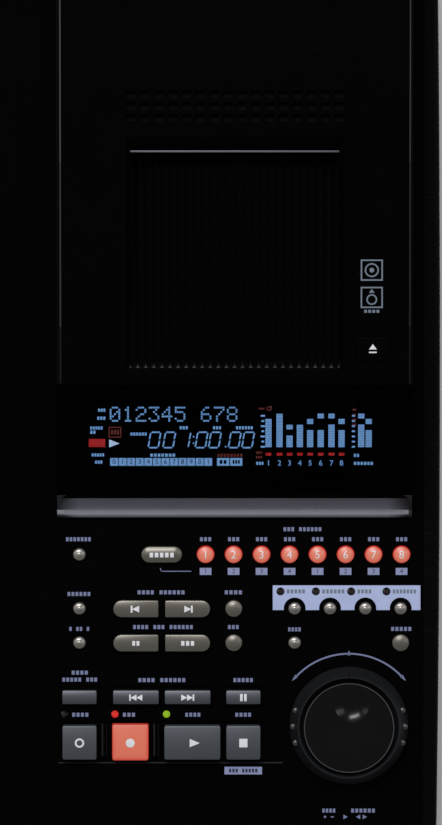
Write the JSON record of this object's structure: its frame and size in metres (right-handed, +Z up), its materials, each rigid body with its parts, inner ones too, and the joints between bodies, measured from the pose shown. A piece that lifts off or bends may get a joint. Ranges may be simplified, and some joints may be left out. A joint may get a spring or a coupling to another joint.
{
  "type": "minidisc recorder deck",
  "caption": "Desktop minidisc deck with a sloped key panel, jog dial and shuttle ring, display window, fluted disc chute and slot-loading drive.",
  "frame": {"origin": "on the table, under the middle of the deck's overall box", "axes": "+Y from the front edge to the rear sockets, +X to the right, +Z up"},
  "size_m": [0.1954, 0.39, 0.1029],
  "materials": {
    "black_panel": "fine satin black",
    "cheek_grey": "satin charcoal",
    "chassis_steel": "black powder coat",
    "socket": "black with plated rings",
    "rubber": "matt black",
    "zinc_steel": "zinc plated",
    "ledge_grey": "satin grey-blue",
    "window": "smoked acrylic",
    "tube_glass": "dark glass with lit segments",
    "chute_black": "satin black",
    "circuit_board": "green solder mask",
    "switch_body": "black",
    "lamp": "translucent",
    "dial_black": "satin black",
    "gear_plastic": "natural acetal",
    "turntable": "turned",
    "key_taupe": "metallic taupe",
    "key_lit": "translucent orange-red, lit",
    "key_slate": "slate grey",
    "key_red": "salmon red",
    "key_black": "satin black"
  },
  "bodies": {
    "deck": {"top_panel": "black_panel", "side_cheeks": "cheek_grey", "base_chassis": "chassis_steel", "rear_sockets": "socket", "feet": "rubber", "screws": "zinc_steel", "deck_housing": "black_panel", "display_ledge": "ledge_grey", "display_window": "window", "display_tube": "tube_glass", "disc_chute": "chute_black", "control_board": "circuit_board", "panel_switches": "switch_body", "status_lamps": "lamp", "main_board": "circuit_board", "drive_frame": "zinc_steel", "drive_motors": "zinc_steel"},
    "slot_flap": {"slot_flap": "chute_black"},
    "shuttle_ring": {"shuttle_ring": "dial_black"},
    "jog_dial": {"jog_dial": "dial_black"},
    "cartridge_carrier": {"cartridge_carrier": "zinc_steel"},
    "loading_slider": {"loading_slider": "zinc_steel"},
    "loading_gear": {"loading_gear": "gear_plastic"},
    "spindle_turntable": {"spindle_turntable": "turntable"},
    "pickup_sled": {"pickup_sled": "gear_plastic"},
    "lead_screw": {"lead_screw": "zinc_steel"},
    "record_head": {"record_head": "zinc_steel"},
    "display_key": {"display_key": "key_taupe"},
    "repeat_key": {"repeat_key": "key_taupe"},
    "loop_key": {"loop_key": "key_taupe"},
    "group_key": {"group_key": "key_taupe"},
    "mark_back_key": {"mark_back_key": "key_taupe"},
    "mark_forward_key": {"mark_forward_key": "key_taupe"},
    "search_in_key": {"search_in_key": "key_taupe"},
    "search_out_key": {"search_out_key": "key_taupe"},
    "mark_key": {"mark_key": "key_taupe"},
    "set_key": {"set_key": "key_taupe"},
    "exit_key": {"exit_key": "key_taupe"},
    "enter_key": {"enter_key": "key_taupe"},
    "record_select_key_1": {"record_select_key_1": "key_lit"},
    "record_select_key_2": {"record_select_key_2": "key_lit"},
    "record_select_key_3": {"record_select_key_3": "key_lit"},
    "record_select_key_4": {"record_select_key_4": "key_lit"},
    "record_select_key_5": {"record_select_key_5": "key_lit"},
    "record_select_key_6": {"record_select_key_6": "key_lit"},
    "record_select_key_7": {"record_select_key_7": "key_lit"},
    "record_select_key_8": {"record_select_key_8": "key_lit"},
    "pitch_key": {"pitch_key": "key_taupe"},
    "adjust_key": {"adjust_key": "key_taupe"},
    "edit_key": {"edit_key": "key_taupe"},
    "utility_key": {"utility_key": "key_taupe"},
    "punch_key": {"punch_key": "key_slate"},
    "song_back_key": {"song_back_key": "key_slate"},
    "song_forward_key": {"song_forward_key": "key_slate"},
    "pause_key": {"pause_key": "key_slate"},
    "rehearse_key": {"rehearse_key": "key_slate"},
    "record_key": {"record_key": "key_red"},
    "play_key": {"play_key": "key_slate"},
    "stop_key": {"stop_key": "key_slate"},
    "eject_key": {"eject_key": "key_black"}
  },
  "joints": [
    {"name": "loading_slide", "type": "slide", "parent": "deck", "child": "loading_slider", "axis": [0, 1, 0], "range_m": [0, 0.012]},
    {"name": "gear_turn", "type": "hinge", "parent": "deck", "child": "loading_gear", "pos_m": [-0.02995, 0.15, 0.05865], "axis": [1, 0, 0], "range_deg": [-98.2, 0]},
    {"name": "carrier_drop", "type": "slide", "parent": "deck", "child": "cartridge_carrier", "axis": [0, 0, -1], "range_m": [0, 0.004]},
    {"name": "sled_travel", "type": "slide", "parent": "deck", "child": "pickup_sled", "axis": [1, 0, 0], "range_m": [0, 0.016]},
    {"name": "lead_screw_turn", "type": "hinge", "parent": "deck", "child": "lead_screw", "pos_m": [0.00975, 0.129, 0.068], "axis": [1, 0, 0], "range_deg": [0, 1439.9]},
    {"name": "head_lift", "type": "hinge", "parent": "pickup_sled", "child": "record_head", "pos_m": [0.05175, 0.1516, 0.08715], "axis": [0, -1, 0], "range_deg": [0, 12], "stiffness_Nm_per_rad": 0.004, "springref_deg": -11.46},
    {"name": "flap_swing", "type": "hinge", "parent": "deck", "child": "slot_flap", "pos_m": [0.00975, 0.11685, 0.08665], "axis": [1, 0, 0], "range_deg": [0, 80]},
    {"name": "disc_spin", "type": "hinge", "parent": "deck", "child": "spindle_turntable", "pos_m": [0.00975, 0.1516, 0.07765], "axis": [0, 0, 1], "continuous": true},
    {"name": "shuttle_turn", "type": "hinge", "parent": "deck", "child": "shuttle_ring", "pos_m": [0.05885, -0.1357, 0.04223], "axis": [0, -0.1045, 0.9945], "range_deg": [-75, 75], "stiffness_Nm_per_rad": 0.05},
    {"name": "jog_turn", "type": "hinge", "parent": "deck", "child": "jog_dial", "pos_m": [0.05885, -0.1357, 0.04223], "axis": [0, -0.1045, 0.9945], "continuous": true},
    {"name": "eject_key_press", "type": "slide", "parent": "deck", "child": "eject_key", "axis": [0, 0.1392, -0.9903], "range_m": [0, 0.001], "stiffness_N_per_m": 300, "springref_m": -0.001},
    {"name": "record_key_press", "type": "slide", "parent": "deck", "child": "record_key", "axis": [0, 0.1045, -0.9945], "range_m": [0, 0.0015], "stiffness_N_per_m": 300, "springref_m": -0.001},
    {"name": "play_key_press", "type": "slide", "parent": "deck", "child": "play_key", "axis": [0, 0.1045, -0.9945], "range_m": [0, 0.0015], "stiffness_N_per_m": 300, "springref_m": -0.001},
    {"name": "stop_key_press", "type": "slide", "parent": "deck", "child": "stop_key", "axis": [0, 0.1045, -0.9945], "range_m": [0, 0.0015], "stiffness_N_per_m": 300, "springref_m": -0.001},
    {"name": "rehearse_key_press", "type": "slide", "parent": "deck", "child": "rehearse_key", "axis": [0, 0.1045, -0.9945], "range_m": [0, 0.0015], "stiffness_N_per_m": 300, "springref_m": -0.001},
    {"name": "pause_key_press", "type": "slide", "parent": "deck", "child": "pause_key", "axis": [0, 0.1045, -0.9945], "range_m": [0, 0.001], "stiffness_N_per_m": 300, "springref_m": -0.001},
    {"name": "punch_key_press", "type": "slide", "parent": "deck", "child": "punch_key", "axis": [0, 0.1045, -0.9945], "range_m": [0, 0.001], "stiffness_N_per_m": 300, "springref_m": -0.001},
    {"name": "song_back_key_press", "type": "slide", "parent": "deck", "child": "song_back_key", "axis": [0, 0.1045, -0.9945], "range_m": [0, 0.001], "stiffness_N_per_m": 300, "springref_m": -0.001},
    {"name": "song_forward_key_press", "type": "slide", "parent": "deck", "child": "song_forward_key", "axis": [0, 0.1045, -0.9945], "range_m": [0, 0.001], "stiffness_N_per_m": 300, "springref_m": -0.001},
    {"name": "display_key_press", "type": "slide", "parent": "deck", "child": "display_key", "axis": [0, 0.1045, -0.9945], "range_m": [0, 0.0008], "stiffness_N_per_m": 400, "springref_m": -0.001},
    {"name": "repeat_key_press", "type": "slide", "parent": "deck", "child": "repeat_key", "axis": [0, 0.1045, -0.9945], "range_m": [0, 0.0008], "stiffness_N_per_m": 400, "springref_m": -0.001},
    {"name": "loop_key_press", "type": "slide", "parent": "deck", "child": "loop_key", "axis": [0, 0.1045, -0.9945], "range_m": [0, 0.0008], "stiffness_N_per_m": 400, "springref_m": -0.001},
    {"name": "group_key_press", "type": "slide", "parent": "deck", "child": "group_key", "axis": [0, 0.1045, -0.9945], "range_m": [0, 0.0008], "stiffness_N_per_m": 400, "springref_m": -0.001},
    {"name": "mark_back_key_press", "type": "slide", "parent": "deck", "child": "mark_back_key", "axis": [0, 0.1045, -0.9945], "range_m": [0, 0.0008], "stiffness_N_per_m": 400, "springref_m": -0.001},
    {"name": "mark_forward_key_press", "type": "slide", "parent": "deck", "child": "mark_forward_key", "axis": [0, 0.1045, -0.9945], "range_m": [0, 0.0008], "stiffness_N_per_m": 400, "springref_m": -0.001},
    {"name": "search_in_key_press", "type": "slide", "parent": "deck", "child": "search_in_key", "axis": [0, 0.1045, -0.9945], "range_m": [0, 0.0008], "stiffness_N_per_m": 400, "springref_m": -0.001},
    {"name": "search_out_key_press", "type": "slide", "parent": "deck", "child": "search_out_key", "axis": [0, 0.1045, -0.9945], "range_m": [0, 0.0008], "stiffness_N_per_m": 400, "springref_m": -0.001},
    {"name": "mark_key_press", "type": "slide", "parent": "deck", "child": "mark_key", "axis": [0, 0.1045, -0.9945], "range_m": [0, 0.0008], "stiffness_N_per_m": 400, "springref_m": -0.001},
    {"name": "set_key_press", "type": "slide", "parent": "deck", "child": "set_key", "axis": [0, 0.1045, -0.9945], "range_m": [0, 0.0008], "stiffness_N_per_m": 400, "springref_m": -0.001},
    {"name": "exit_key_press", "type": "slide", "parent": "deck", "child": "exit_key", "axis": [0, 0.1045, -0.9945], "range_m": [0, 0.0008], "stiffness_N_per_m": 400, "springref_m": -0.001},
    {"name": "enter_key_press", "type": "slide", "parent": "deck", "child": "enter_key", "axis": [0, 0.1045, -0.9945], "range_m": [0, 0.0008], "stiffness_N_per_m": 400, "springref_m": -0.001},
    {"name": "record_select_key_1_press", "type": "slide", "parent": "deck", "child": "record_select_key_1", "axis": [0, 0.1045, -0.9945], "range_m": [0, 0.0008], "stiffness_N_per_m": 400, "springref_m": -0.001},
    {"name": "record_select_key_2_press", "type": "slide", "parent": "deck", "child": "record_select_key_2", "axis": [0, 0.1045, -0.9945], "range_m": [0, 0.0008], "stiffness_N_per_m": 400, "springref_m": -0.001},
    {"name": "record_select_key_3_press", "type": "slide", "parent": "deck", "child": "record_select_key_3", "axis": [0, 0.1045, -0.9945], "range_m": [0, 0.0008], "stiffness_N_per_m": 400, "springref_m": -0.001},
    {"name": "record_select_key_4_press", "type": "slide", "parent": "deck", "child": "record_select_key_4", "axis": [0, 0.1045, -0.9945], "range_m": [0, 0.0008], "stiffness_N_per_m": 400, "springref_m": -0.001},
    {"name": "record_select_key_5_press", "type": "slide", "parent": "deck", "child": "record_select_key_5", "axis": [0, 0.1045, -0.9945], "range_m": [0, 0.0008], "stiffness_N_per_m": 400, "springref_m": -0.001},
    {"name": "record_select_key_6_press", "type": "slide", "parent": "deck", "child": "record_select_key_6", "axis": [0, 0.1045, -0.9945], "range_m": [0, 0.0008], "stiffness_N_per_m": 400, "springref_m": -0.001},
    {"name": "record_select_key_7_press", "type": "slide", "parent": "deck", "child": "record_select_key_7", "axis": [0, 0.1045, -0.9945], "range_m": [0, 0.0008], "stiffness_N_per_m": 400, "springref_m": -0.001},
    {"name": "record_select_key_8_press", "type": "slide", "parent": "deck", "child": "record_select_key_8", "axis": [0, 0.1045, -0.9945], "range_m": [0, 0.0008], "stiffness_N_per_m": 400, "springref_m": -0.001},
    {"name": "pitch_key_press", "type": "slide", "parent": "deck", "child": "pitch_key", "axis": [0, 0.1045, -0.9945], "range_m": [0, 0.0008], "stiffness_N_per_m": 400, "springref_m": -0.001},
    {"name": "adjust_key_press", "type": "slide", "parent": "deck", "child": "adjust_key", "axis": [0, 0.1045, -0.9945], "range_m": [0, 0.0008], "stiffness_N_per_m": 400, "springref_m": -0.001},
    {"name": "edit_key_press", "type": "slide", "parent": "deck", "child": "edit_key", "axis": [0, 0.1045, -0.9945], "range_m": [0, 0.0008], "stiffness_N_per_m": 400, "springref_m": -0.001},
    {"name": "utility_key_press", "type": "slide", "parent": "deck", "child": "utility_key", "axis": [0, 0.1045, -0.9945], "range_m": [0, 0.0008], "stiffness_N_per_m": 400, "springref_m": -0.001}
  ],
  "couplings": [
    {"joint": "gear_turn", "follows": "loading_slide", "rad_per_m": -142.86},
    {"joint": "carrier_drop", "follows": "loading_slide", "ratio": 0.33333},
    {"joint": "lead_screw_turn", "follows": "sled_travel", "rad_per_m": 1570.8}
  ]
}
